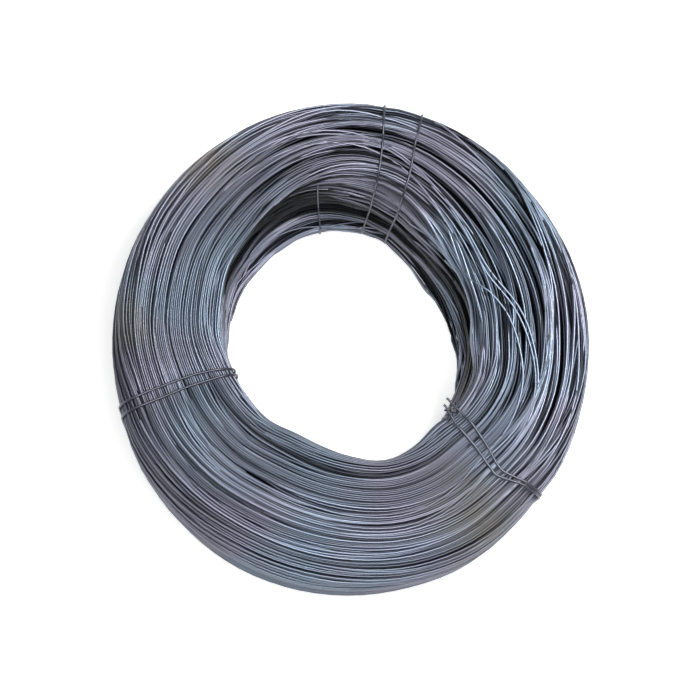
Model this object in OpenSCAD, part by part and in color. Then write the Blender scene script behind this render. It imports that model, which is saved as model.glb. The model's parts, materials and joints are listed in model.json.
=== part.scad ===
// Coil of annealed wire lying on its end: one turned winding with its bore, whose
// upper turns have been pushed back on one side, held together by four wire ties.
// Millimetres, +Z up along the bore axis, origin on the floor at the centre of the bore.

/* [Winding] */
// Diameter of the wire, in the turns and in the ties
wire_d = 2.1; // [1.6:0.1:3]
// Outside diameter over the turns
coil_od = 450; // [400:2:520]
// Clear diameter of the bore
coil_bore = 212; // [200:2:240]
// Height of the coil lying on its end
coil_h = 112; // [90:1:140]
// Rounding of the outer edges, top and bottom
outer_round = 20; // [14:1:30]
// Rounding of the bore edges, top and bottom
bore_round = 14; // [9:1:20]

/* [Mouth] */
// Diameter of the leaning hollow where upper turns were pushed back from the bore
mouth_d = 190; // [170:2:196]
// Direction in which they were pushed back
mouth_angle = 100; // [90:1:110]
// Lean of the hollow away from upright
mouth_lean = 27; // [16:0.5:30]
// Height at which the hollow leaves the wall of the bore
mouth_start = 18; // [17:0.5:40]

/* [Left tie] */
// Direction of the left tie where it enters the bore
left_bore_angle = 195.4; // [185:0.1:205]
// Direction of the left tie where it goes down the outer wall
left_outer_angle = 198.9; // [188:0.1:208]
// Half the angle between its two strands
left_half_angle = 1.6; // [1.2:0.1:4]

/* [Top tie] */
// Direction of the top tie, halfway between its two strands
top_angle = 76.6; // [66:0.1:86]
// Half the angle between its two strands
top_half_angle = 5.1; // [1.5:0.1:8]

/* [Right tie] */
// Direction of the right tie where it enters the bore
right_bore_angle = -35.9; // [-46:0.1:-26]
// Direction of the right tie where it goes down the outer wall
right_outer_angle = -39.3; // [-48:0.1:-29]
// Half the angle between its strands at the bore
right_bore_half_angle = 2.3; // [2.2:0.1:4]
// Half the angle between its strands at the outer wall
right_outer_half_angle = 0.6; // [0.5:0.1:3]
// Length of each cut end over the bore
cut_end = 10; // [4:0.5:20]

/* [Inner tie] */
// Direction of the tie whose upper side is buried in the winding
inner_angle = 101.5; // [92:0.1:112]
// Depth below the top at which it goes into the winding
inner_depth = 18; // [16:0.5:40]
// Length of each end inside the winding
inner_end = 9; // [4:0.5:20]

/* [Clearances] */
// Gap between a tie and the crests of the turns it lies on
tie_gap = 0.25; // [0.15:0.05:0.3]
// Gap all round a tie that the turns have closed on
groove_gap = 0.15; // [0.1:0.05:0.2]

/* [Hidden] */
$fn = 96;

outer_r = coil_od / 2;
bore_r = coil_bore / 2;
// each turn shows as half an octagon: a land on its crest and two bevels
land = wire_d * (sqrt(2) - 1);
bevel = (wire_d - land) / 2;

// axis of a tie: proud of the top and the outer wall, flush in the bore and on the floor side
tie_lift = wire_d / 2 + tie_gap;
tie_top = coil_h + tie_lift;
tie_floor = tie_lift;
tie_outer_r = outer_r + tie_lift;
tie_bore_r = bore_r + tie_lift;
outer_bend = outer_round + tie_lift;
floor_bend = outer_round;
lip_bend = bore_round;
foot_bend = bore_round - tie_lift + groove_gap;
// the end of a bore run is wound once round its own top run
wrap_r = wire_d + tie_gap;
wrap_shift = wire_d / 6;
buried_bend = 2 * wire_d;
entry_z = coil_h - inner_depth;
buried_z = entry_z - buried_bend;
// a tie kinks sharply at the mouth: a tight bend, a hair thicker than the wire, lapped over its neighbours
kink_bend = wire_d;
kink_d = 1.04 * wire_d;
kink_lap = wire_d / 10;
kink_room = 2 * wire_d;
// the groove down the mouth's wall is a little wider than the one in the bore that it runs into
mouth_gap = 1.5 * groove_gap;

// level cut through the mouth: an ellipse, longer along the lean, whose centre moves out with height
mouth_r = mouth_d / 2;
mouth_long_r = mouth_r / cos(mouth_lean);
mouth_first = bore_r - mouth_long_r;

steel = [0.36, 0.38, 0.43];
tie_steel = [0.5, 0.52, 0.57];

// turns side by side along a straight stretch of the section
function turns_in(length) = max(1, floor(length / wire_d));

function straight_turns(start, along, out, length) =
    let (n = turns_in(length), step = length / n)
    [for (i = [0 : n - 1])
        for (p = [[0, -bevel], [(step - land) / 2, 0], [(step + land) / 2, 0]])
            start + along * (i * step + p[0]) + out * p[1]];

// turns side by side round a quarter bend of the section
function bend_turns(centre, radius, first) =
    let (n = turns_in(radius * PI / 2), step = 90 / n, half = asin(land / 2 / radius))
    [for (i = [0 : n - 1])
        for (p = [[0, -bevel], [step / 2 - half, 0], [step / 2 + half, 0]])
            let (a = first + i * step + p[0])
            centre + (radius + p[1]) * [cos(a), sin(a)]];

function section_points() =
    let (
        flat = outer_r - outer_round - bore_r - bore_round,
        wall = coil_h - 2 * outer_round,
        out_x = outer_r - outer_round,
        in_x = bore_r + bore_round
    )
    concat(
        straight_turns([in_x, 0], [1, 0], [0, -1], flat),
        bend_turns([out_x, outer_round], outer_round, 270),
        straight_turns([outer_r, outer_round], [0, 1], [1, 0], wall),
        bend_turns([out_x, coil_h - outer_round], outer_round, 0),
        straight_turns([out_x, coil_h], [-1, 0], [0, 1], flat),
        bend_turns([in_x, coil_h - bore_round], bore_round, 90),
        [
            [bore_r + bevel, coil_h - bore_round],
            [bore_r, coil_h - bore_round - bevel],
            [bore_r, bore_round + bevel]
        ],
        bend_turns([in_x, bore_round], bore_round, 180)
    );

// a strand is placed by the plan points of its bore run and its outer run
function plan_point(radius, angle) = radius * [cos(angle), sin(angle)];

function strand_line(bore_angle, outer_angle) =
    plan_point(tie_outer_r, outer_angle) - plan_point(tie_bore_r, bore_angle);

// kept to hundredths so that straight runs and bends meet exactly
function reach(bore_angle, outer_angle) = hundredths(norm(strand_line(bore_angle, outer_angle)));

function hundredths(value) = round(100 * value) / 100;

// radius of the mouth's wall in a direction, at the top of the coil
function mouth_edge(angle) =
    let (
        turn = angle - mouth_angle,
        centre = mouth_first + (coil_h - mouth_start) * tan(mouth_lean),
        a = pow(cos(turn) / mouth_long_r, 2) + pow(sin(turn) / mouth_r, 2),
        b = centre * cos(turn) / pow(mouth_long_r, 2),
        c = pow(centre / mouth_long_r, 2) - 1
    )
    (b + sqrt(b * b - a * c)) / a;

// height at which the mouth's wall leaves the bore in a direction
function mouth_foot(angle) =
    let (
        turn = angle - mouth_angle,
        across = bore_r * sin(turn) / mouth_r,
        centre = bore_r * cos(turn) - mouth_long_r * sqrt(1 - across * across)
    )
    mouth_start + (centre - mouth_first) / tan(mouth_lean);

// lean of the mouth's wall as a strand in that direction meets it
function wall_lean(angle) = atan((mouth_edge(angle) - bore_r) / (coil_h - mouth_foot(angle)));

// axis of a strand flush in the mouth's wall: local x at a height, and the height of its knee in the bore
function mouth_x(angle, z) =
    let (lean = wall_lean(angle))
    hundredths(bore_r + tie_lift / cos(lean) + (z - mouth_foot(angle)) * tan(lean) - tie_outer_r);

function knee_z(angle) = hundredths(mouth_foot(angle) - tie_lift * tan(wall_lean(angle) / 2));

// local x is 0 on the outer run and -reach() on the bore run
module strand_plane(bore_angle, outer_angle) {
    q = plan_point(tie_outer_r, outer_angle);
    line = strand_line(bore_angle, outer_angle);
    translate([q[0], q[1], 0])
        rotate([0, 0, atan2(line[1], line[0])])
            children();
}

// the section's +x looks out of the loop: facing 0 is outward, 90 up, 180 to the bore, 270 down
module run(x, z, facing, length) {
    translate([x, 0, z])
        rotate([90, 0, 0])
            rotate([0, 0, facing])
                rotate([-90, 0, 0])
                    linear_extrude(length)
                        children();
}

module bend(x, z, facing, radius, angle = 90) {
    translate([x, 0, z])
        rotate([90, 0, 0])
            rotate([0, 0, facing])
                rotate_extrude(angle = angle)
                    translate([radius, 0])
                        children();
}

module wire_section() {
    circle(d = wire_d);
}

// room for a flush strand, open to the outside of the loop
module groove_section(gap = groove_gap) {
    circle(d = wire_d + 2 * gap);
    translate([0, -wire_d / 2 - gap])
        square([wire_d, wire_d + 2 * gap]);
}

module bore_run(length, top_z) {
    run(-length, top_z, 180, top_z - tie_floor - foot_bend) children();
}

module foot_part(length) {
    bend(foot_bend - length, tie_floor + foot_bend, 180, foot_bend) children();
}

module floor_part(length) {
    run(foot_bend - length, tie_floor, 270, length - foot_bend - floor_bend) children();
    bend(-floor_bend, tie_floor + floor_bend, 270, floor_bend) children();
}

module outer_run(top_z) {
    run(0, tie_floor + floor_bend, 0, top_z - tie_floor - floor_bend) children();
}

module shoulder_part() {
    bend(-outer_bend, tie_top - outer_bend, 0, outer_bend) children();
}

module top_run(length) {
    run(-outer_bend, tie_top, 90, length - outer_bend) children();
}

module lip_part(length) {
    bend(lip_bend - length, tie_top - lip_bend, 90, lip_bend) children();
}

// a strand closed round the whole section
module closed_strand(bore_angle, outer_angle) {
    length = reach(bore_angle, outer_angle);
    strand_plane(bore_angle, outer_angle)
        union() {
            bore_run(length, tie_top - lip_bend) wire_section();
            foot_part(length) wire_section();
            floor_part(length) wire_section();
            outer_run(tie_top - outer_bend) wire_section();
            shoulder_part() wire_section();
            top_run(length - lip_bend) wire_section();
            lip_part(length) wire_section();
        }
}

module closed_groove(bore_angle, outer_angle) {
    length = reach(bore_angle, outer_angle);
    strand_plane(bore_angle, outer_angle) {
        lip_part(length) groove_section();
        bore_run(length, tie_top - lip_bend) groove_section();
        foot_part(length) groove_section();
        floor_part(length) groove_section();
    }
}

// a strand whose top run ends in a cut end over the bore, with the end of its bore run wound round it
module ended_strand(bore_angle, outer_angle) {
    length = reach(bore_angle, outer_angle);
    strand_plane(bore_angle, outer_angle)
        union() {
            top_run(length + cut_end) wire_section();
            shoulder_part() wire_section();
            outer_run(tie_top - outer_bend) wire_section();
            floor_part(length) wire_section();
            foot_part(length) wire_section();
            bore_run(length, tie_top - wrap_r) wire_section();
            translate([wrap_shift - length, 0, tie_top])
                rotate([0, 90, 0])
                    rotate_extrude()
                        translate([wrap_r, 0])
                            wire_section();
        }
}

module ended_groove(bore_angle, outer_angle) {
    length = reach(bore_angle, outer_angle);
    strand_plane(bore_angle, outer_angle) {
        bore_run(length, tie_top - wrap_r) groove_section();
        foot_part(length) groove_section();
        floor_part(length) groove_section();
    }
}

// the leaning stretch of a strand, from a height down to its knee, longer or shorter by some room at each end
module mouth_run(angle, top_z, upper_room, lower_room) {
    x = mouth_x(angle, top_z);
    rise = top_z - knee_z(angle);
    shift = x + reach(angle, angle);
    lean = atan2(shift, rise);
    run(
        x + upper_room * sin(lean),
        top_z + upper_room * cos(lean),
        180 - lean,
        norm([shift, rise]) + upper_room + lower_room
    ) children();
}

// what a kink of some turn takes off each run beside it
function kink_cut(turn) = kink_bend * tan(turn / 2) - kink_lap;

// a kink round a corner of a strand's line, from one facing to the next
module kink(x, z, first, last) {
    middle = (first + last) / 2;
    away = kink_bend / cos((last - first) / 2);
    bend(x - away * cos(middle), z - away * sin(middle), first, kink_bend, last - first) children();
}

module kink_section() {
    circle(d = kink_d);
}

module kink_pocket() {
    circle(d = kink_d + 4 * groove_gap);
}

// a strand closed round the section by way of the mouth
module mouth_strand(angle) {
    length = reach(angle, angle);
    edge_x = mouth_x(angle, tie_top);
    lean = wall_lean(angle);
    strand_plane(angle, angle)
        union() {
            bore_run(length, hundredths(knee_z(angle) - kink_cut(lean))) wire_section();
            foot_part(length) wire_section();
            floor_part(length) wire_section();
            outer_run(tie_top - outer_bend) wire_section();
            shoulder_part() wire_section();
            top_run(-edge_x - kink_cut(90 - lean)) wire_section();
            mouth_run(angle, tie_top, -kink_cut(90 - lean), -kink_cut(lean)) wire_section();
            kink(-length, knee_z(angle), 180 - lean, 180) kink_section();
            kink(edge_x, tie_top, 90, 180 - lean) kink_section();
        }
}

module mouth_groove(angle) {
    length = reach(angle, angle);
    strand_plane(angle, angle) {
        mouth_run(angle, tie_top, kink_room, 0) groove_section(mouth_gap);
        bore_run(length, knee_z(angle) + kink_room) groove_section();
        foot_part(length) groove_section();
        floor_part(length) groove_section();
    }
}

module bore_entry(angle, cut) {
    run(mouth_x(angle, entry_z) + inner_end, entry_z, 90, inner_end - cut) children();
}

module outer_entry() {
    bend(-buried_bend, buried_z, 0, buried_bend) children();
    run(-buried_bend, buried_z + buried_bend, 90, inner_end) children();
}

// a strand round the lower part of the section, both ends turned into the winding
module buried_strand(angle) {
    length = reach(angle, angle);
    lean = wall_lean(angle);
    strand_plane(angle, angle)
        union() {
            bore_entry(angle, kink_cut(90 - lean)) wire_section();
            mouth_run(angle, entry_z, -kink_cut(90 - lean), -kink_cut(lean)) wire_section();
            bore_run(length, hundredths(knee_z(angle) - kink_cut(lean))) wire_section();
            foot_part(length) wire_section();
            floor_part(length) wire_section();
            outer_run(buried_z) wire_section();
            outer_entry() wire_section();
            kink(-length, knee_z(angle), 180 - lean, 180) kink_section();
            kink(mouth_x(angle, entry_z), entry_z, 90, 180 - lean) kink_section();
        }
}

module buried_groove(angle) {
    length = reach(angle, angle);
    strand_plane(angle, angle) {
        bore_entry(angle, 0) groove_section();
        kink(mouth_x(angle, entry_z), entry_z, 90, 180 - wall_lean(angle)) kink_pocket();
        mouth_run(angle, entry_z, kink_room, 0) groove_section(mouth_gap);
        bore_run(length, knee_z(angle) + kink_room) groove_section();
        foot_part(length) groove_section();
        floor_part(length) groove_section();
        outer_entry() groove_section();
    }
}

// the leaning hollow; it begins a little below the place where it leaves the wall of the bore
module mouth() {
    rotate([0, 0, mouth_angle])
        translate([bore_r, 0, mouth_start])
            rotate([0, mouth_lean, 0])
                translate([-mouth_r, 0, -bore_round])
                    cylinder(r = mouth_r, h = bore_round + (coil_h + wire_d - mouth_start) / cos(mouth_lean));
}

module wire_coil() {
    color(steel)
        difference() {
            rotate_extrude()
                polygon(section_points());
            mouth();
            for (side = [-1, 1]) {
                closed_groove(
                    left_bore_angle + side * left_half_angle,
                    left_outer_angle + side * left_half_angle
                );
                mouth_groove(top_angle + side * top_half_angle);
                ended_groove(
                    right_bore_angle + side * right_bore_half_angle,
                    right_outer_angle + side * right_outer_half_angle
                );
            }
            buried_groove(inner_angle);
        }
}

module left_tie() {
    color(tie_steel)
        for (side = [-1, 1])
            closed_strand(
                left_bore_angle + side * left_half_angle,
                left_outer_angle + side * left_half_angle
            );
}

module top_tie() {
    color(tie_steel)
        for (side = [-1, 1])
            mouth_strand(top_angle + side * top_half_angle);
}

module right_tie() {
    color(tie_steel)
        for (side = [-1, 1])
            ended_strand(
                right_bore_angle + side * right_bore_half_angle,
                right_outer_angle + side * right_outer_half_angle
            );
}

module inner_tie() {
    color(tie_steel)
        buried_strand(inner_angle);
}

wire_coil();
left_tie();
top_tie();
right_tie();
inner_tie();
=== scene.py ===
"""Coil of annealed wire: its turns, its ties and their steel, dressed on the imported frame."""
import functools
import json
import math
import bpy
import numpy as np
from mathutils import Matrix, Vector


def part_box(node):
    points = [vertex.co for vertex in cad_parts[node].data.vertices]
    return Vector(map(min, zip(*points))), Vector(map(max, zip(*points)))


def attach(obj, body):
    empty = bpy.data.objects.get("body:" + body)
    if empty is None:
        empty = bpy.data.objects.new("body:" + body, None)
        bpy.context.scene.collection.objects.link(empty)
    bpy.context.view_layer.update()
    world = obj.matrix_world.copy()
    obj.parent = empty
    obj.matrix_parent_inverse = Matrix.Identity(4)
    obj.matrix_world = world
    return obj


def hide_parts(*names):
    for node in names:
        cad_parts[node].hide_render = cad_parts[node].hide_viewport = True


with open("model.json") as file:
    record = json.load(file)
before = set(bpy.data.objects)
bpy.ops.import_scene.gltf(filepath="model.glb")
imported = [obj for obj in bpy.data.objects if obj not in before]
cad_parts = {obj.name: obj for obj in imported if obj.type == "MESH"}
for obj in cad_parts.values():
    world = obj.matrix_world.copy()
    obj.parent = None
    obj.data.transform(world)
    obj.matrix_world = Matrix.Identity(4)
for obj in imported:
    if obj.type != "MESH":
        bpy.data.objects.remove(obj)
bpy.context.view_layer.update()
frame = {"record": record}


# Sizes, in millimetres

MM = 0.001
WIRE = 2.1
HALF = WIRE / 2

# the solid coil: its outer radius and height from its box, its bore from the record
COIL_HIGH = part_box("wire_coil")[1]
SKIN_OUTER, SKIN_TOP = round(COIL_HIGH[0] / MM, 1), round(COIL_HIGH[2] / MM, 1)
SKIN_BORE = next(m["dims"]["r_mm"] for m in frame["record"]["mounts"] if m["name"] == "bore")

# depth of the turns that are drawn one by one, over the core of buried ones, and on the floor side
BUILD_UP, FLOOR_UP = 6.0, 3.2
# the core lies this much deeper where the turns over it are loose; this slope takes it back to
# nothing where the core faces the floor
SINK, SINK_FADE = 5.0, 1.4
# how high a wire's middle may lie over the core where turns are neat, on top and elsewhere
PILE_TOP, PILE_SIDE = BUILD_UP + 1.4, BUILD_UP + 0.6
# bends of the core's section: the two outer ones, the lip of the bore and its foot
OUTER_BEND, LIP_BEND, FOOT_BEND = 14.0, 15.0, 9.0
# room that a turn and a tie wire keep over the floor, and the highest that a tie's middle may lie
TURN_CLEAR, TIE_CLEAR = 0.05, 0.02
TIE_TOP = SKIN_TOP + 3.4


# How finely it is drawn

TURN = 2 * math.pi
STEPS = 96          # points along one turn of wire
BINS = 420          # places along the section, about a millimetre apart
DIRECTIONS = 360    # sections round the coil
CORE_RIBS = 120     # sections of the core's mesh
WIRE_SIDES, TIE_SIDES = 6, 10
STEP_ANGLES = np.arange(STEPS) * TURN / STEPS
RNG = np.random.default_rng(21)
FREE = 99.0         # a height that limits nothing


# How this coil lies

# radii every 15 degrees from +X: the outside, the upper and the lower rim of the bore, and how far
# the middle of the bore wall lies back behind its rims
OUTER_R = (215.5, 214.7, 215.3, 217.7, 218.6, 220.1, 219.9, 218.7, 217.0, 214.9, 213.4, 212.9,
           212.5, 214.3, 218.1, 219.0, 220.9, 222.4, 222.6, 222.3, 223.3, 218.5, 217.6, 215.3)
UPPER_R = (104.9, 107.3, 109.3, 114.9, 127.8, 143.0, 150.0, 143.5, 132.0, 124.5, 121.5, 116.5,
           117.8, 109.3, 106.2, 103.8, 97.6, 99.7, 105.8, 113.4, 111.9, 107.5, 113.7, 115.7)
LOWER_R = (105.6, 99.0, 96.5, 101.2, 112.6, 121.8, 122.8, 119.2, 114.4, 111.1, 112.2, 111.9,
           113.4, 110.8, 109.8, 108.8, 107.8, 107.8, 108.8, 109.8, 109.8, 108.8, 107.8, 107.3)
SET_BACK = (11.0, 17.0, 20.0, 14.0, 4.0, 2.0, 10.0, 24.0, 30.0, 30.0, 24.0, 15.0,
            4.0, 3.0, 3.0, 3.0, 3.0, 3.0, 3.0, 3.0, 3.0, 3.0, 3.0, 4.0)

# how loosely the turns lie, every 45 degrees from +X: neat at the left, loose from the right to
# the top; then the same on the wall of the bore
LOOSE = (1.0, 1.1, 0.8, 0.4, 0.1, 0.36, 0.3, 0.36)
LOOSE_BORE = (0.9, 1.0, 1.0, 1.0, 0.4, 0.2, 0.25, 0.5)
# a side counts wholly as the wall of the bore where it faces inward by two thirds
INWARD = 1.5
# parts of a side's normal from which on something holds
FACES_DOWN = 0.05   # the floor limits how far out a wire lies
FACES_UP = 0.6      # turns pile up as on the top
TIE_LIMITED = 0.3   # upward: a tie may lie no higher than TIE_TOP
OVER_LIP = 0.7      # upward: the top hasn't bent into the lip of the bore yet
FACES_OUT = 0.3     # it belongs to the outer wall, not to the hollow of the bore

# Brightness of the steel, the tint, goes from 0, dark, to 1, bright: the oxide's tone varies from
# turn to turn, and painted light and shade come on top of it. How much brighter or darker the turns
# are drawn as painted light and shade, every 45 degrees from +X, and how much more than that
# towards the bore, from nothing at the first radius to all of it at the second
LIGHT_BY_DIRECTION = (0.01, 0.12, 0.08, 0.0, -0.11, 0.03, 0.06, 0.05)
LIP_LIGHT = (0.34, 0.14, 0.12, 0.28, 0.33, 0.03, -0.06, 0.15)
LIP_LIGHT_FROM, LIP_LIGHT_TO = 172.0, 132.0

# painted shade on the turns of the bore wall, darker where the rims shade it, and painted light
# where a
# value is below nought: at parts of the coil's height, every 30 degrees from +X; turns that face up
# or down take this share of it
BORE_SHADE_LEVEL = 0.5
BORE_SHADE = ((0.04, (0.5, 0.45, 0.4, 0.45, 0.3, 0.25, 0.1, 0.0, 0.0, 0.0, 0.1, 0.2)),
          (0.2, (1.0, 1.0, 0.95, 1.0, 0.7, 0.5, 0.2, 0.0, 0.0, 0.0, 0.1, 0.5)),
          (0.45, (1.1, 1.1, 0.8, 0.8, 1.3, 1.0, 0.2, 0.0, 0.0, 0.0, 0.1, 0.5)),
          (0.7, (0.6, 0.6, 0.0, -0.2, 1.3, 1.0, 0.1, 0.0, 0.0, 0.0, 0.0, 0.2)),
          (0.84, (0.0, 0.0, -0.2, -0.35, 0.7, 0.5, 0.0, 0.0, 0.0, 0.0, 0.0, 0.0)),
          (0.9, (0.0, 0.0, -0.1, -0.15, 0.0, 0.0, 0.0, 0.0, 0.0, 0.0, 0.0, 0.0)))

# how much the tint varies from turn to turn, and how much of that shows where turns are neat and,
# on top of it, where they are loose; turns of the deeper layer are drawn darker, as painted shade
# in the gaps where they show
TINT_SPREAD, NEAT_CONTRAST, LOOSE_CONTRAST, DEEP_SHADE = 0.33, 0.22, 1.05, 0.7
# the tint that a ribbon, a turn in a groove and a loose strand start from
RIBBON_TINT, GROOVE_TINT, DIP_TINT = (0.2, 0.8), (0.3, 0.9), 0.8
# the buried turns and the ties have one tint all over
CORE_TINT, TIE_TINT = 0.5, 0.5

# a layer of turns leans to one side as a whole: how far, and towards which angle
DEEP_LEAN, UPPER_LEAN = (7.0, 3.6), (15.0, 4.5)
# how far its ribbons wander, by harmonics round the coil
DEEP_WANDER, UPPER_WANDER = (1.5, 1.2, 1.0), (4.0, 3.5, 2.5)
# how far a turn strays from its lane, by harmonics, and how that varies: few turns stray far
STRAY, STRAY_GAMMA = (0.5, 0.5, 0.45, 0.4, 0.35), (2.0, 0.5)
# that goes with the looseness by a slope, less an offset, and stays within a range
STRAY_SLOPE, STRAY_LESS, STRAY_RANGE = 1.3, 0.1, (0.06, 2)
# how far its ribbons are drawn together where they are loose, and how that varies
DEEP_DRAWN, UPPER_DRAWN = 0.3, 0.4
DRAWN_SHARE, DRAWN_WANDER = (0.3, 1.1), (0.2, 0.2, 0.15)
# turns in a ribbon, from the first number up to but not with the second; the mean gap between
# them, in parts of a wire; and the gap to the next ribbon
RIBBON_TURNS, HAIR, SEAM_GAP = (3, 7), 0.04, (0.0, 0.1)
# how far along the section a ribbon's second turns lie from the grooves of its first ones
NUDGE = 0.3
# the step from lane to lane begins at the left, in these parts of a turn
LANE_STEP = (0.4, 0.7)
# stiff wire bridges over dips with this reach, in steps along the turn
BRIDGE, BRIDGE_PAD = 1.7, 8
# how much lower the round crest of a wire is, one place along the section beside its middle
CREST_FALL = 0.5
# a wire's ends dive under their neighbours over some steps
TUCK, TUCK_STEPS = 1.4 * WIRE, 9

# loose strands that dip to the bore at the upper right: their distance from its lip by direction
# in degrees, and how far out each of them lies from the first
LOOSE_DIP = ((0, 37), (8, 28), (13, 20), (21, 7), (28, 1), (37, 3), (50, 8), (63, 12), (75, 18),
             (90, 26), (120, 40), (180, 48), (270, 50), (330, 46))
LOOSE_STRANDS = (0, 10, 13)
# smoothing of their line, as reach and padding in steps along the turn
DIP_SMOOTH = (1.2, 6)


# How the ties lie

# for each strand its radius and its direction in degrees, along the top from the bore outward
LEFT_TIE = (((113, 195.8), (129, 194.9), (144, 194.6), (160, 195.2), (195, 196.4), (206, 197.1),
             (223, 197.9)),
            ((113, 198.2), (131, 198.2), (150, 198.1), (179, 198.9), (205, 199.4), (215, 200.3),
             (223, 200.9)))
TOP_TIE = (((128, 84.0), (146, 81.7), (161, 81.1), (186, 81.4), (204, 81.9), (224, 82.6)),
           ((122, 73.0), (146, 70.5), (165, 71.2), (189, 72.4), (202, 72.5), (224, 73.6)))
RIGHT_TIE = (((104, -37.2), (112, -39.1), (123, -41.0), (146, -42.2), (165, -43.8), (178, -44.6),
              (196, -42.0), (214, -39.9), (224, -39.0)),
             ((102, -33.4), (112, -34.7), (129, -36.2), (150, -38.9), (171, -41.8), (180, -42.4),
              (196, -40.9), (214, -39.2), (224, -38.5)))
# lengths of the right tie's two cut ends, and the direction of the inner tie
RIGHT_TIE_ENDS = (19.5, 21.5)
INNER_TIE = 101.5

TIE_STEP = 1.5      # distance between the points of a tie
TIE_REST = 3        # a tie rests on the highest crest within this many places along the section
# smoothing of a tie's height and of its direction, as reach and padding in points
TIE_HEIGHT_SMOOTH, TIE_SIDE_SMOOTH = (3.0, 9), (1.3, 4)
# a tie pulls the turns in this far at the bore's foot and on the floor side, and elsewhere, and
# over this width; its own wire is pressed a little into them
FLOOR_PULL, PULL, PULL_WIDTH, PRESSED = 2.2, 1.1, 9.0, 0.2
# it lies deeper still down the bore wall and at the bore's foot
WALL_FLUSH, FOOT_FLUSH = 0.5, 2.0
# a cut end falls towards the bore by this slope; the other end takes so many turns round it,
# between these distances in from the lip
END_FALL, WRAP_TURNS, WRAP_FAR, WRAP_NEAR = 0.08, 1.8, 15.0, 8.0
WRAP_R = WIRE + 0.1
END_POINTS, WRAP_POINTS = 14, 30
# the inner tie comes out from this far under the turns, over this distance
BURIED, BURIED_OVER = 5.0, 8.0


# Curves round the coil


def around(values, angle):
    """Smooth closed curve through values that are evenly spaced round the coil."""
    v = np.asarray(values)
    n = len(v)
    u = (np.asarray(angle) / TURN * n) % n
    i = np.floor(u).astype(int) % n
    f = u - np.floor(u)
    a, b, c, d = v[(i - 1) % n], v[i], v[(i + 1) % n], v[(i + 2) % n]
    return b + 0.5 * f * (c - a + f * (2 * a - 5 * b + 4 * c - d + f * (3 * (b - c) + d - a)))


def looseness(angle, facing):
    """How loosely the turns lie in a direction, on a side whose normal has this radial part."""
    inside = np.clip(-INWARD * facing, 0, 1)
    return around(LOOSE, angle) * (1 - inside) + around(LOOSE_BORE, angle) * inside


def bell(reach, pad):
    """Weights of a bell curve, for smoothing along a line."""
    weights = np.exp(-0.5 * (np.arange(-pad, pad + 1) / reach) ** 2)
    return weights / weights.sum()


def smoothed(values, reach, pad, ends):
    """Values smoothed along a line whose ends are held (edge) or joined (wrap)."""
    return np.convolve(np.pad(values, pad, mode=ends), bell(reach, pad), mode="valid")


# The core: the buried turns under the ones that are drawn


def core_outline(bend_points=25):
    """Plain section of the core, from the lower outer bend round by the top and the bore."""
    r_in, r_out = SKIN_BORE + BUILD_UP, SKIN_OUTER - BUILD_UP
    z_low, z_top = FLOOR_UP, SKIN_TOP - BUILD_UP
    # each bend: the corner that it rounds off, its radius and the direction that it begins from
    bends = ((r_out, z_low, OUTER_BEND, 270), (r_out, z_top, OUTER_BEND, 0),
             (r_in, z_top, LIP_BEND, 90), (r_in, z_low, FOOT_BEND, 180))
    points = []
    for r, z, bend, first in bends:
        halfway = math.radians(first + 45)
        centre_r = r - math.copysign(bend, math.cos(halfway))
        centre_z = z - math.copysign(bend, math.sin(halfway))
        for a in np.radians(np.linspace(first, first + 90, bend_points)):
            points.append((centre_r + bend * math.cos(a), centre_z + bend * math.sin(a)))
    points = np.array(points + points[:1])
    # straight stretches get about one point for each millimetre
    stretches = [np.linspace(a, b, max(2, int(np.linalg.norm(b - a))), endpoint=False)
                 for a, b in zip(points[:-1], points[1:])]
    return np.concatenate(stretches + [points[:1]])


def core_table():
    """Section of the core in each direction: radius, height and outward normal along it."""
    base_r, base_z = core_outline().T
    out = np.clip((base_r - SKIN_BORE) / (SKIN_OUTER - SKIN_BORE), 0, 1)
    up = np.clip(base_z / SKIN_TOP, 0, 1)
    rows = []
    for angle in np.arange(DIRECTIONS) * TURN / DIRECTIONS:
        lower, upper = around(LOWER_R, angle), around(UPPER_R, angle)
        bore = (lower + (upper - lower) * up * up * (3 - 2 * up)
                + around(SET_BACK, angle) * 4 * up * (1 - up))
        r = (base_r + out * (around(OUTER_R, angle) - SKIN_OUTER)
             + (1 - out) * (bore - SKIN_BORE))
        length = np.concatenate([[0], np.cumsum(np.hypot(np.diff(r), np.diff(base_z)))])
        at = np.arange(BINS) / BINS * length[-1]
        r, z = np.interp(at, length, r), np.interp(at, length, base_z)
        dr, dz = np.roll(r, -1) - np.roll(r, 1), np.roll(z, -1) - np.roll(z, 1)
        size = np.hypot(dr, dz)
        nr, nz = dz / size, -dr / size
        # loose turns need more room, so the core lies deeper there, but not on the floor side
        deeper = SINK * looseness(angle, nr) * np.clip(1 + SINK_FADE * nz, 0, 1)
        rows.append(np.stack([r - deeper * nr, z - deeper * nz, nr, nz], axis=-1))
    return np.array(rows)


TABLE = core_table()


def first_place(found, after):
    """First place along the section, past another one, where something is found."""
    return int(np.argmax(found & (np.arange(BINS) > after)))


# places where the top, the lip of the bore and the floor side begin, on the left of the coil;
# each of these sides is longer than PAST
LEVEL, PAST = 0.9, 20
LEFT_FACING_UP = TABLE[DIRECTIONS // 2, :, 3]
TOP_S = first_place(LEFT_FACING_UP > LEVEL, -1)
LIP_S = first_place(LEFT_FACING_UP < LEVEL, TOP_S + PAST)
FOOT_S = first_place(LEFT_FACING_UP < -LEVEL, LIP_S + PAST)
# the pieces of the top and of the bore begin within the bends
TOP_PIECE_S, BORE_PIECE_S = TOP_S - 12, LIP_S + 8
# the deeper layer ends where it began, all round the section, and the upper one before the floor
DEEP_LAST_S, UPPER_LAST_S = BINS - 3, FOOT_S - 6
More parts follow.
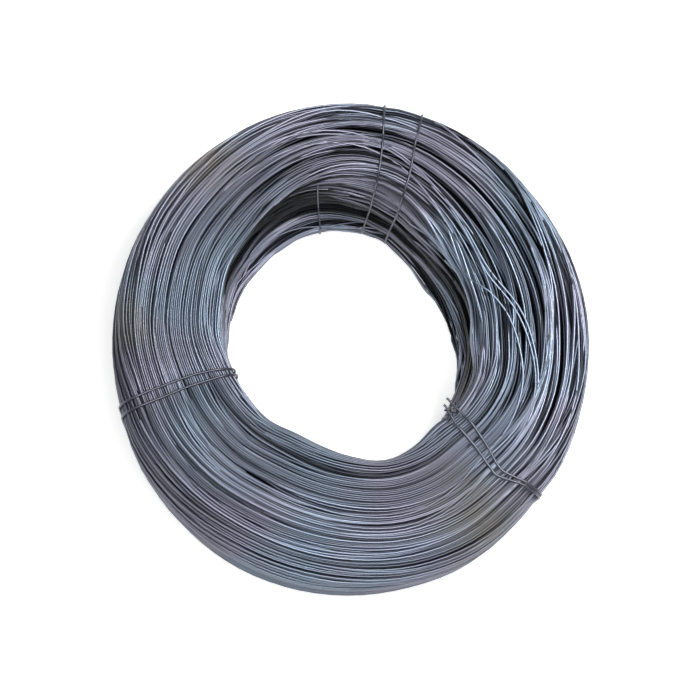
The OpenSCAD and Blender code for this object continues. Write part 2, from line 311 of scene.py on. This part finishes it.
# places from which the ties pull more, and lie deeper down the wall and at the foot of the bore,
# with the distances over which they come to that
FLOOR_PULL_S = FOOT_S - 5
WALL_FLUSH_S, WALL_FLUSH_OVER = LIP_S + 30, 20
FOOT_FLUSH_S, FOOT_FLUSH_OVER = FOOT_S - 16, 10
# the right tie goes once round, from just under the lip back to the lip; the inner tie comes out
# below the lip and ends at the lower outer bend
RIGHT_FROM_S, RIGHT_TO_S = LIP_S + 7, BINS + LIP_S + 2
INNER_FROM_S, INNER_TO_S = LIP_S + 12, BINS + 10


def core_at(angle, s):
    """Radius, height and normal of the core at angles and places along the section."""
    u = (np.asarray(angle) / TURN % 1) * DIRECTIONS
    v = np.asarray(s) % BINS
    i, j = np.floor(u).astype(int), np.floor(v).astype(int)
    f, g = (u - i)[..., None], (v - j)[..., None]
    i, i2, j, j2 = i % DIRECTIONS, (i + 1) % DIRECTIONS, j % BINS, (j + 1) % BINS
    return ((1 - f) * ((1 - g) * TABLE[i, j] + g * TABLE[i, j2])
            + f * ((1 - g) * TABLE[i2, j] + g * TABLE[i2, j2]))


def place(angle, s, height):
    """Point at an angle, a place along the section and a height over the core, in millimetres."""
    core = core_at(angle, s)
    r = core[..., 0] + height * core[..., 2]
    z = core[..., 1] + height * core[..., 3]
    return np.stack([r * np.cos(angle), r * np.sin(angle), z], axis=-1)


def floor_room(core, clear):
    """How far over the core a wire's middle may lie before the wire is this near to the floor."""
    down = -core[..., 3]
    room = (core[..., 1] - HALF - clear) / np.maximum(down, FACES_DOWN)
    return np.where(down > FACES_DOWN, room, FREE)


def waist(angle, s):
    """How far the ties pull the turns in, in millimetres."""
    s = np.asarray(s) % BINS
    radius = core_at(angle, s)[..., 0]
    most = np.where(s > FLOOR_PULL_S, FLOOR_PULL, PULL)
    depth = np.zeros(np.broadcast(angle, s).shape)
    for stops in LEFT_TIE + TOP_TIE + RIGHT_TIE:
        middle = np.radians(np.interp(radius, *np.array(stops).T))
        off = (angle - middle + math.pi) % TURN - math.pi
        depth = np.maximum(depth, most * np.exp(-(off * radius / PULL_WIDTH) ** 2))
    return depth


# Winding the wire


def loose_along(line):
    """How loosely the turns lie along a line round the coil."""
    return looseness(STEP_ANGLES, core_at(STEP_ANGLES, line)[:, 2])


def limit(angle, s):
    """Highest that a wire's middle may lie, so that it stays off the floor and inside the coil."""
    core = core_at(angle, s)
    pile = np.where(core[..., 3] > FACES_UP, PILE_TOP, PILE_SIDE)
    pile += SINK * looseness(angle, core[..., 2])
    return np.minimum(pile, np.maximum(floor_room(core, TURN_CLEAR), 0.0))


def soften(height):
    """Stiff wire bridges over dips: the highest of its neighbours, then smoothed along the wire."""
    h = np.pad(height, BRIDGE_PAD, mode="edge")
    h = np.maximum(h, np.maximum(np.roll(h, 1), np.roll(h, -1)))
    return np.convolve(h, bell(BRIDGE, BRIDGE_PAD), mode="valid")


def tuck(points):
    """How far a wire of so many points dives at its two ends."""
    dive = TUCK * (0.5 + 0.5 * np.cos(np.linspace(0, math.pi, TUCK_STEPS)))
    depth = np.zeros(points)
    depth[:TUCK_STEPS], depth[-TUCK_STEPS:] = dive, dive[::-1]
    return depth


def painted_bore_shade(angle, core):
    """BORE_SHADE, the painted shade and light of the bore wall, read between its rows."""
    heights, rows = zip(*BORE_SHADE)
    by_row = np.array([around(row, angle) for row in rows])
    at = np.interp(core[:, 1] / SKIN_TOP, heights, range(len(rows)))
    low, k = np.minimum(at.astype(int), len(rows) - 2), np.arange(len(at))
    return by_row[low, k] + (at - low) * (by_row[low + 1, k] - by_row[low, k])


def tints_along(tint, turns, angle, core):
    """Tint at each point of a ribbon: its own, its turns', and the painted light and shade of where
    they lie.
    """
    facing = core[:, 2]
    own = np.repeat(tint - 0.5 + RNG.normal(0, TINT_SPREAD, turns), STEPS)
    # the turns' own tone, then painted light and shade by direction and towards the lip of the bore
    tints = (own * (NEAT_CONTRAST + LOOSE_CONTRAST * looseness(angle, facing)) + 0.5
             + around(LIGHT_BY_DIRECTION, angle))
    tints += around(LIP_LIGHT, angle) * np.clip(
        (LIP_LIGHT_FROM - core[:, 0]) / (LIP_LIGHT_FROM - LIP_LIGHT_TO), 0, 1)
    # painted shade on the bore wall where the rims shade it, painted light where its table is below
    # nought
    bore_shade_share = np.clip(-INWARD * facing, BORE_SHADE_LEVEL, 1) * (facing < FACES_OUT)
    tints -= painted_bore_shade(angle, core) * bore_shade_share
    return np.clip(tints, 0, 1)


def swings(sizes):
    """A slow wander round the coil, made of its first few harmonics."""
    phase = RNG.uniform(0, TURN, len(sizes))
    return sum(RNG.normal(0, size) * np.cos((m + 1) * STEP_ANGLES - phase[m])
               for m, size in enumerate(sizes))


def spaced(turns):
    """Lanes of a ribbon's turns: mostly touching, now and then a hair apart."""
    lanes = np.cumsum(1.0 + RNG.exponential(HAIR, turns))
    return lanes - lanes.mean()


class Winding:
    """Turns laid one on another: each one's places along the section and heights over the core."""

    def __init__(self):
        self.s = np.zeros((0, STEPS))
        self.h = np.zeros((0, STEPS))
        self.crest = np.zeros((BINS, STEPS))
        self.ribbons = []

    def rest_height(self, s):
        """Height at which a wire lies on what is there already."""
        gap = np.abs((self.s - s + BINS / 2) % BINS - BINS / 2)
        on = np.where(gap < WIRE, self.h + np.sqrt(np.maximum(WIRE ** 2 - gap ** 2, 0)), HALF)
        return np.maximum(on.max(axis=0), HALF)

    def add(self, middle, lanes, spread, tint, name):
        """Winds a flat ribbon, one continuous wire, whose turns lie in lanes beside a middle line.
        Where the ribbon is drawn together, every other turn climbs on its neighbours."""
        turns, base = len(lanes), len(self.s)
        free = np.clip(STRAY_SLOPE * loose_along(middle) - STRAY_LESS, *STRAY_RANGE)
        ahead = np.append(lanes[1:], lanes[-1] + 1)
        order = (int(RNG.uniform(*LANE_STEP) * STEPS) + np.arange(STEPS)) % STEPS
        self.s = np.vstack([self.s, np.zeros((turns, STEPS))])
        self.h = np.vstack([self.h, np.full((turns, STEPS), -FREE)])
        for i in (*range(0, turns, 2), *range(1, turns, 2)):
            lane = np.empty(STEPS)
            lane[order] = lanes[i] + (ahead[i] - lanes[i]) * np.arange(STEPS) / STEPS
            stray = free * RNG.gamma(*STRAY_GAMMA) * swings(STRAY)
            s = (middle + lane * WIRE * spread + stray) % BINS
            self.h[base + i] = self.rest_height(s)
            self.s[base + i] = s
        path_s, raw = self.s[base:, order].ravel(), self.h[base:, order].ravel()
        steps = np.tile(order, turns)
        angle = STEP_ANGLES[order[0]] + np.arange(turns * STEPS) * TURN / STEPS
        h = np.minimum(soften(raw), limit(angle, path_s))
        self.h[np.repeat(np.arange(base, base + turns), STEPS), steps] = h
        for off in (-1, 0, 1):
            rows = (np.round(path_s).astype(int) + off) % BINS
            np.maximum.at(self.crest, (rows, steps), h + HALF - CREST_FALL * off * off)
        tints = tints_along(tint, turns, angle, core_at(angle, path_s))
        self.ribbons.append(dict(angle=angle, s=path_s, h=np.maximum(h - tuck(len(h)), 0),
                                 tint=tints, name=name))


def region(s):
    """Piece that a ribbon belongs to, by its place along the section."""
    s = s % BINS
    if s > FOOT_S:
        return "floor_turns"
    if s > BORE_PIECE_S:
        return "bore_turns"
    if s > TOP_PIECE_S:
        return "top_turns"
    return "outer_turns"


def lay(winding, last, lean, wander, drawn, upper):
    """Covers the section up to a last place with ribbons side by side, laid in mixed order."""
    shared = lean[0] * np.cos(STEP_ANGLES - lean[1])
    plan, seams, s = [], [], 0
    while s < last:
        lanes = spaced(int(RNG.integers(*RIBBON_TURNS)))
        plan.append((s + len(lanes) * WIRE / 2, lanes))
        s += (lanes[-1] - lanes[0] + 1) * WIRE + RNG.uniform(*SEAM_GAP)
        seams.append(s)
    for i in RNG.permutation(len(plan)):
        middle, lanes = plan[i]
        loose = loose_along(middle + shared)
        line = middle + shared + loose * swings(wander)
        close = np.clip(RNG.uniform(*DRAWN_SHARE) + swings(DRAWN_WANDER), 0, 1)
        spread = 1.0 - drawn * loose * close
        # the deeper layer's turns are drawn darker: painted shade where they show in gaps
        tint = RNG.uniform(*RIBBON_TINT) * (1.0 if upper else DEEP_SHADE)
        winding.add(line, lanes, spread, tint, region(middle))
        if upper:
            # more turns of the ribbon lie in the grooves of the first ones
            grooves = (lanes[1:] + lanes[:-1]) / 2
            winding.add(line + NUDGE, grooves, spread, tint, region(middle))
    # one more turn lies in each groove between two ribbons of the upper layer
    for s in seams if upper else ():
        line = s + shared + loose_along(s + shared) * swings(wander)
        winding.add(line, np.zeros(1), np.ones(STEPS), RNG.uniform(*GROOVE_TINT), region(s))


def beside_lip(stops):
    """Line on top of the coil at distances out from the lip of the bore, by direction."""
    first = TOP_S + PAST
    facing_up = TABLE[(STEP_ANGLES / TURN * DIRECTIONS).astype(int), first:, 3]
    directions, distances = np.array(stops).T
    out = np.interp(np.degrees(STEP_ANGLES), directions, distances, period=360)
    lip = first + np.argmax(facing_up < OVER_LIP, axis=1)
    return smoothed(lip - out, *DIP_SMOOTH, "wrap")


def wind():
    """The whole coil: a deeper layer all round the section, an upper one, and loose strands."""
    winding = Winding()
    lay(winding, DEEP_LAST_S, DEEP_LEAN, DEEP_WANDER, DEEP_DRAWN, upper=False)
    lay(winding, UPPER_LAST_S, UPPER_LEAN, UPPER_WANDER, UPPER_DRAWN, upper=True)
    for out in LOOSE_STRANDS:
        line = beside_lip(LOOSE_DIP) - out
        winding.add(line, np.zeros(1), np.ones(STEPS), DIP_TINT, "top_turns")
    return winding


COIL = wind()


# Node trees


def add_node(tree, kind, settings=None, **inputs):
    """Adds a node with its settings. An input, by its name or by its number as in i6, takes a
    value, or a link from another node's output."""
    node = tree.nodes.new(kind)
    for key, value in (settings or {}).items():
        setattr(node, key, value)
    for key, value in inputs.items():
        socket = node.inputs[int(key[1:]) if key[1:].isdigit() else key.replace("_", " ")]
        if isinstance(value, bpy.types.NodeSocket):
            tree.links.new(value, socket)
        else:
            socket.default_value = value
    return node


def strand_tree():
    """Geometry nodes that draw each path as a round wire."""
    tree = bpy.data.node_groups.new("round wire along paths", "GeometryNodeTree")
    for name, side, kind, value in (("Paths", "INPUT", "NodeSocketGeometry", None),
                                    ("Wire radius", "INPUT", "NodeSocketFloat", HALF * MM),
                                    ("Sides", "INPUT", "NodeSocketInt", WIRE_SIDES),
                                    ("Steel", "INPUT", "NodeSocketMaterial", None),
                                    ("Wire", "OUTPUT", "NodeSocketGeometry", None)):
        socket = tree.interface.new_socket(name, in_out=side, socket_type=kind)
        if value is not None:
            socket.default_value = value
    add = functools.partial(add_node, tree)
    given = add("NodeGroupInput").outputs
    curve = add("GeometryNodeMeshToCurve", Mesh=given["Paths"])
    ring = add("GeometryNodeCurvePrimitiveCircle", Radius=given["Wire radius"],
               Resolution=given["Sides"])
    tube = add("GeometryNodeCurveToMesh", Curve=curve.outputs["Curve"],
               Profile_Curve=ring.outputs["Curve"], Fill_Caps=True)
    smooth = add("GeometryNodeSetShadeSmooth", Geometry=tube.outputs["Mesh"])
    real = add("GeometryNodeRealizeInstances", Geometry=smooth.outputs["Geometry"])
    steel = add("GeometryNodeSetMaterial", Geometry=real.outputs["Geometry"],
                Material=given["Steel"])
    add("NodeGroupOutput", Wire=steel.outputs["Geometry"])
    return tree


TREE = strand_tree()


def wires(name, paths, material, sides=WIRE_SIDES):
    """One piece made of wires: paths are (points in millimetres, closed, tint)."""
    verts, edges, tints = [], [], []
    for points, closed, tint in paths:
        first = len(verts)
        verts.extend((np.asarray(points) * MM).tolist())
        edges.extend((first + i, first + i + 1) for i in range(len(points) - 1))
        if closed:
            edges.append((len(verts) - 1, first))
        tints.extend(np.broadcast_to(tint, len(points)).tolist())
    mesh = bpy.data.meshes.new(name + " paths")
    mesh.from_pydata(verts, edges, [])
    mesh.attributes.new("tint", "FLOAT", "POINT").data.foreach_set("value", tints)
    source = bpy.data.objects.new(name + " paths", mesh)
    bpy.context.scene.collection.objects.link(source)
    modifier = source.modifiers.new("wire", "NODES")
    modifier.node_group = TREE
    given = {"Wire radius": HALF * MM, "Sides": sides, "Steel": material}
    for item in TREE.interface.items_tree:
        if item.in_out == "INPUT" and item.name in given:
            modifier[item.identifier] = given[item.name]
    graph = bpy.context.evaluated_depsgraph_get()
    made = bpy.data.meshes.new_from_object(source.evaluated_get(graph))
    made.name = name
    bpy.data.objects.remove(source)
    bpy.data.meshes.remove(mesh)
    piece = bpy.data.objects.new(name, made)
    bpy.context.scene.collection.objects.link(piece)
    return piece


# Materials


def linear(code):
    """sRGB hex code to linear RGBA."""
    parts = [int(code[i:i + 2], 16) / 255 for i in (1, 3, 5)]
    return tuple(c / 12.92 if c <= 0.04045 else ((c + 0.055) / 1.055) ** 2.4
                 for c in parts) + (1.0,)


def noise_scale(size):
    """Scale of a noise whose spots are about this many millimetres across."""
    return 1 / (size * MM)


def shader(name):
    """A new material, its tree, its shader and its output."""
    material = bpy.data.materials.new(name)
    material.use_nodes = True
    nodes = {node.type: node for node in material.node_tree.nodes}
    return material, material.node_tree, nodes["BSDF_PRINCIPLED"], nodes["OUTPUT_MATERIAL"]


# patches of thick oxide: where, and how far they reach, in metres
BROWN_SPOTS = (((-0.2, 0.012, 0.1), 0.04), ((0.105, -0.16, 0.1), 0.06), ((-0.14, 0.17, 0.1), 0.06))

# the oxide's hue changes over about a hand's width, and its patches have edges that fray by a
# few turns; its grain is finer than a tenth of a millimetre, drawn as coarse as the wire to show
HUE_DRIFT, FRAY, GRAIN = 111.0, 35.7, 2.38
COLOUR_MIX = {"data_type": "RGBA"}


def wire_steel(name, dark, light, violet, warm, roughness, patches):
    """Drawn and annealed steel wire under a thin oxide, from dark to light by its tint, which
    carries the turns' tone and painted light and shade. The light goes from slate to violet grey
    over the coil, and to brown in a few patches."""
    material, tree, steel, _ = shader(name)
    add = functools.partial(add_node, tree)
    at = add("ShaderNodeTexCoord").outputs["Object"]
    tint = add("ShaderNodeAttribute", {"attribute_name": "tint"}).outputs["Fac"]
    drift = add("ShaderNodeTexNoise", Vector=at, Scale=noise_scale(HUE_DRIFT), Detail=1.0)
    hue = add("ShaderNodeMapRange", Value=drift.outputs["Fac"], From_Min=0.4, From_Max=0.62)
    light_end = add("ShaderNodeMix", COLOUR_MIX, i0=hue.outputs[0], i6=linear(light),
                 i7=linear(violet))
    body = add("ShaderNodeMix", COLOUR_MIX, i0=tint, i6=linear(dark), i7=light_end.outputs[2])
    # brownish where the oxide is thicker
    fray = add("ShaderNodeTexNoise", Vector=at, Scale=noise_scale(FRAY), Detail=3.0)
    brown = 0.0
    for spot, reach in BROWN_SPOTS:
        away = add("ShaderNodeVectorMath", {"operation": "DISTANCE"}, i0=at, i1=spot)
        frayed = add("ShaderNodeMath", {"operation": "MULTIPLY_ADD"}, i0=fray.outputs["Fac"],
                     i1=reach, i2=away.outputs["Value"])
        near = add("ShaderNodeMapRange", Value=frayed.outputs[0], From_Min=0.6 * reach,
                   From_Max=1.4 * reach, To_Min=patches, To_Max=0.0)
        most = add("ShaderNodeMath", {"operation": "MAXIMUM"}, i0=brown, i1=near.outputs[0])
        brown = most.outputs[0]
    colour = add("ShaderNodeMix", COLOUR_MIX, i0=brown, i6=body.outputs[2], i7=linear(warm))
    # the grain breaks up the streak of light along each wire
    grain = add("ShaderNodeTexNoise", Vector=at, Scale=noise_scale(GRAIN), Detail=3.0)
    rough = add("ShaderNodeMapRange", Value=grain.outputs["Fac"], From_Min=0.3, From_Max=0.7,
                To_Min=roughness - 0.07, To_Max=roughness + 0.09)
    bump = add("ShaderNodeBump", Height=grain.outputs["Fac"], Strength=0.04, Distance=0.0002)
    tree.links.new(colour.outputs[2], steel.inputs["Base Color"])
    tree.links.new(rough.outputs[0], steel.inputs["Roughness"])
    tree.links.new(bump.outputs[0], steel.inputs["Normal"])
    # the oxide dulls the metal
    steel.inputs["Metallic"].default_value = 0.8
    return material


# furnace annealed wire: dull slate turns; the near black end also carries painted shade on the bore
# wall and the light end painted light, with a soft broken streak of light along each wire
STEEL = wire_steel("annealed steel wire, blue-grey oxide", dark="#101216", light="#8b99ac",
                   violet="#9596a8", warm="#6f6b62", roughness=0.38, patches=0.7)
# the same wire bent and twisted by hand: an even, slightly brighter grey with the same sheen
TIE_STEEL = wire_steel("tie wire, rubbed annealed steel", dark="#4a4e57", light="#6f747e",
                       violet="#70707b", warm="#635f58", roughness=0.38, patches=0.4)
# buried turns: near black and rough, painted shade so that gaps between the others look deep
SHADE_CORE_STEEL = wire_steel("buried turns, painted shade", dark="#0c0d10", light="#131418",
                        violet="#141317", warm="#121110", roughness=0.6, patches=0.4)


# The turns


def ribbon_path(ribbon):
    """Points of a ribbon's wire, drawn in where the ties hold it."""
    angle, s = ribbon["angle"], ribbon["s"]
    return place(angle, s, ribbon["h"] - waist(angle % TURN, s))


for name in ("top_turns", "outer_turns", "bore_turns", "floor_turns"):
    paths = [(ribbon_path(r), False, r["tint"]) for r in COIL.ribbons if r["name"] == name]
    piece = wires(name, paths, STEEL)
    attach(piece, "root")
    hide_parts("wire_coil")


def core_ring(crest=0.1, groove=-0.9):
    """The buried turns: one closed ring, ridged along them."""
    angle = np.arange(CORE_RIBS) * TURN / CORE_RIBS
    grid_a, grid_s = np.meshgrid(angle, np.arange(BINS), indexing="ij")
    height = np.where(grid_s % 2 == 0, crest, groove)
    verts = place(grid_a, grid_s, height - waist(grid_a, grid_s)).reshape(-1, 3) * MM
    i, j = np.meshgrid(np.arange(CORE_RIBS), np.arange(BINS), indexing="ij")
    ni, nj = (i + 1) % CORE_RIBS, (j + 1) % BINS
    quads = np.stack([i * BINS + j, ni * BINS + j, ni * BINS + nj, i * BINS + nj], axis=-1)
    mesh = bpy.data.meshes.new("inner_turns")
    mesh.from_pydata(verts.tolist(), [], quads.reshape(-1, 4).tolist())
    tints = [CORE_TINT] * len(verts)
    mesh.attributes.new("tint", "FLOAT", "POINT").data.foreach_set("value", tints)
    # the core is near black: painted shade in the gaps between the turns
    mesh.materials.append(SHADE_CORE_STEEL)
    piece = bpy.data.objects.new("inner_turns", mesh)
    bpy.context.scene.collection.objects.link(piece)
    return piece


core = core_ring()
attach(core, "root")
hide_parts("wire_coil")


# The ties


def lie_on(angle, s):
    """Height over the core of a tie wire that lies across the turns."""
    column = np.round((angle % TURN) / TURN * STEPS).astype(int) % STEPS
    row = np.round(s).astype(int)
    top = np.zeros(len(s))
    for ds in range(-TIE_REST, TIE_REST + 1):
        for dk in (-1, 0, 1):
            top = np.maximum(top, COIL.crest[(row + ds) % BINS, (column + dk) % STEPS])
    top = smoothed(top, *TIE_HEIGHT_SMOOTH, "edge") + HALF - PRESSED
    core = core_at(angle, s)
    facing_up = core[:, 3]
    room = (TIE_TOP - core[:, 1]) / np.maximum(facing_up, TIE_LIMITED)
    room = np.where(facing_up > TIE_LIMITED, room, FREE)
    flush = (WALL_FLUSH * np.clip((s % BINS - WALL_FLUSH_S) / WALL_FLUSH_OVER, 0, 1)
             + FOOT_FLUSH * np.clip((s % BINS - FOOT_FLUSH_S) / FOOT_FLUSH_OVER, 0, 1))
    return np.minimum(top - waist(angle, s) - flush, np.minimum(floor_room(core, TIE_CLEAR), room))


def strand(stops, s):
    """Strand on the turns along these places, in the direction that its stops give by radius."""
    radii, degrees = np.array(stops).T
    section = TABLE[int(degrees.mean()) % DIRECTIONS, s.astype(int) % BINS, 0]
    angle = smoothed(np.radians(np.interp(section, radii, degrees)), *TIE_SIDE_SMOOTH, "wrap")
    return place(angle, s, lie_on(angle, s))


def loop(stops):
    """Closed strand round the whole section."""
    return strand(stops, np.arange(0, BINS, TIE_STEP))


def ended(stops, end):
    """Strand whose cut end stands out over the bore by a length; its other end is wound round
    the cut end, at the lip."""
    path = strand(stops, np.arange(RIGHT_FROM_S, RIGHT_TO_S, TIE_STEP))
    reach = math.hypot(path[-1, 0], path[-1, 1])
    radii = np.linspace(reach - TIE_STEP, reach - end, END_POINTS)
    angle = np.radians(np.interp(radii, *np.array(stops).T))
    free = np.stack([radii * np.cos(angle), radii * np.sin(angle),
                     path[-1, 2] - END_FALL * (reach - radii)], axis=-1)
    along = (free[-1] - free[0]) / np.linalg.norm(free[-1] - free[0])
    upward = (0, 0, 1)
    side = np.cross(along, upward)
    t = np.linspace(0, 1, WRAP_POINTS)
    turn = math.pi + TURN * WRAP_TURNS * (t - 1)
    wrap_r = reach - WRAP_FAR + (WRAP_FAR - WRAP_NEAR) * t
    middle = np.stack([np.interp(wrap_r, radii[::-1], free[::-1, k]) for k in range(3)], axis=-1)
    around_it = np.outer(np.cos(turn), upward) + np.outer(np.sin(turn), side)
    whole = np.concatenate([middle + WRAP_R * around_it, path, free])
    whole[:, 2] = np.minimum(whole[:, 2], TIE_TOP)
    return whole


def buried(direction):
    """Strand from under the top turns at the lip, down the bore wall and under the coil."""
    s = np.arange(INNER_FROM_S, INNER_TO_S, TIE_STEP)
    angle = np.full(len(s), math.radians(direction))
    under = BURIED * np.clip(1 - (s - s[0]) / BURIED_OVER, 0, 1)
    return place(angle, s, lie_on(angle, s) - under)


cut_strands = [(ended(stops, end), False) for stops, end in zip(RIGHT_TIE, RIGHT_TIE_ENDS)]
ties = {
    "left_tie_wires": ("left_tie", [(loop(stops), True) for stops in LEFT_TIE]),
    "top_tie_wires": ("top_tie", [(loop(stops), True) for stops in TOP_TIE]),
    "right_tie_wires": ("right_tie", cut_strands),
    "inner_tie_wire": ("inner_tie", [(buried(INNER_TIE), False)]),
}
for name, (node, paths) in ties.items():
    tinted = [(path, closed, TIE_TINT) for path, closed in paths]
    piece = wires(name, tinted, TIE_STEEL, TIE_SIDES)
    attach(piece, "root")
    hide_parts(node)


# Floor, light and camera

WHITE = linear("#ffffff")
FLOOR_HALF = 6.0                # metres
FLOOR_MOTTLE = 25.0             # millimetres, rolled paint as it shows from afar
FLOOR_GLOW, ROOM_LIGHT = 0.5, 0.28


def floor_paint():
    """Matt white paint: a plain pale ground that takes a soft shadow and gives no gloss."""
    material, tree, paint, output = shader("matt white studio floor")
    add = functools.partial(add_node, tree)
    at = add("ShaderNodeTexCoord").outputs["Object"]
    mottle = add("ShaderNodeTexNoise", Vector=at, Scale=noise_scale(FLOOR_MOTTLE), Detail=2.0)
    tone = add("ShaderNodeMix", COLOUR_MIX, i0=mottle.outputs["Fac"], i6=linear("#f4f4f4"),
               i7=linear("#fafafa"))
    tree.links.new(tone.outputs[2], paint.inputs["Base Color"])
    for key, value in (("Roughness", 0.9), ("Specular IOR Level", 0.2),
                       ("Emission Color", WHITE), ("Emission Strength", FLOOR_GLOW)):
        paint.inputs[key].default_value = value
    # seen by the camera, also in the steel, it is lit white paint; the light that it bounces up
    # is that of a grey floor
    bounced = add("ShaderNodeBsdfDiffuse", Color=linear("#aaaaaa"))
    rays = add("ShaderNodeLightPath").outputs
    seen = rays["Is Camera Ray"]
    for ray in ("Is Glossy Ray", "Is Transmission Ray"):
        seen = add("ShaderNodeMath", {"operation": "MAXIMUM"}, i0=seen, i1=rays[ray]).outputs[0]
    both = add("ShaderNodeMixShader", i0=seen, i1=bounced.outputs[0], i2=paint.outputs[0])
    tree.links.new(both.outputs[0], output.inputs["Surface"])
    return material


corners = [(x * FLOOR_HALF, y * FLOOR_HALF, 0) for x, y in ((-1, -1), (1, -1), (1, 1), (-1, 1))]
floor_mesh = bpy.data.meshes.new("studio_floor")
floor_mesh.from_pydata(corners, [], [(0, 1, 2, 3)])
floor_mesh.materials.append(floor_paint())
floor = bpy.data.objects.new("studio_floor", floor_mesh)
bpy.context.scene.collection.objects.link(floor)

world = bpy.data.worlds.new("soft studio room")
bpy.context.scene.world = world
world.use_nodes = True
sky = next(node for node in world.node_tree.nodes if node.type == "BACKGROUND")
sky.inputs["Color"].default_value = WHITE
sky.inputs["Strength"].default_value = ROOM_LIGHT


def panel(name, at, size, power, target=(0, 0, 0.05)):
    """Square soft light, in metres and watts, turned to the coil."""
    data = bpy.data.lights.new(name, "AREA")
    data.shape = "SQUARE"
    data.size = size
    data.energy = power
    lamp = bpy.data.objects.new(name, data)
    lamp.location = at
    lamp.rotation_euler = (Vector(target) - Vector(at)).to_track_quat("-Z", "Y").to_euler()
    bpy.context.scene.collection.objects.link(lamp)


panel("soft key panel", at=(0.62, 0.3, 1.42), size=0.4, power=17)
panel("soft top panel", at=(0.0, -0.4, 1.65), size=0.8, power=15)

# the photo looks almost straight down: its lean from upright and the direction it leans to
LEAN, LEANS_TO = math.radians(12), math.radians(255)
DISTANCE = 1.66                 # metres
# the point that it looks at, and its shift to the right and up in the picture, in metres
AIM = Vector((0, 0, 0.0553))
AIM_RIGHT, AIM_UP = 0.00077, -0.0012
FRAME_PX, FOCAL_PX, SENSOR_MM = 700, 1792.6, 36

back = Vector((math.sin(LEAN) * math.cos(LEANS_TO), math.sin(LEAN) * math.sin(LEANS_TO),
               math.cos(LEAN)))
right = (-back).cross(Vector((0, 1, 0))).normalized()
up = right.cross(-back)
camera_data = bpy.data.cameras.new("photo view")
camera_data.sensor_width = SENSOR_MM
camera_data.lens = FOCAL_PX / FRAME_PX * SENSOR_MM
camera = bpy.data.objects.new("photo view", camera_data)
basis = Matrix((right, up, back)).transposed().to_4x4()
basis.translation = AIM + back * DISTANCE + right * AIM_RIGHT + up * AIM_UP
camera.matrix_world = basis
bpy.context.scene.collection.objects.link(camera)
bpy.context.scene.camera = camera
bpy.context.scene.view_settings.view_transform = "Standard"
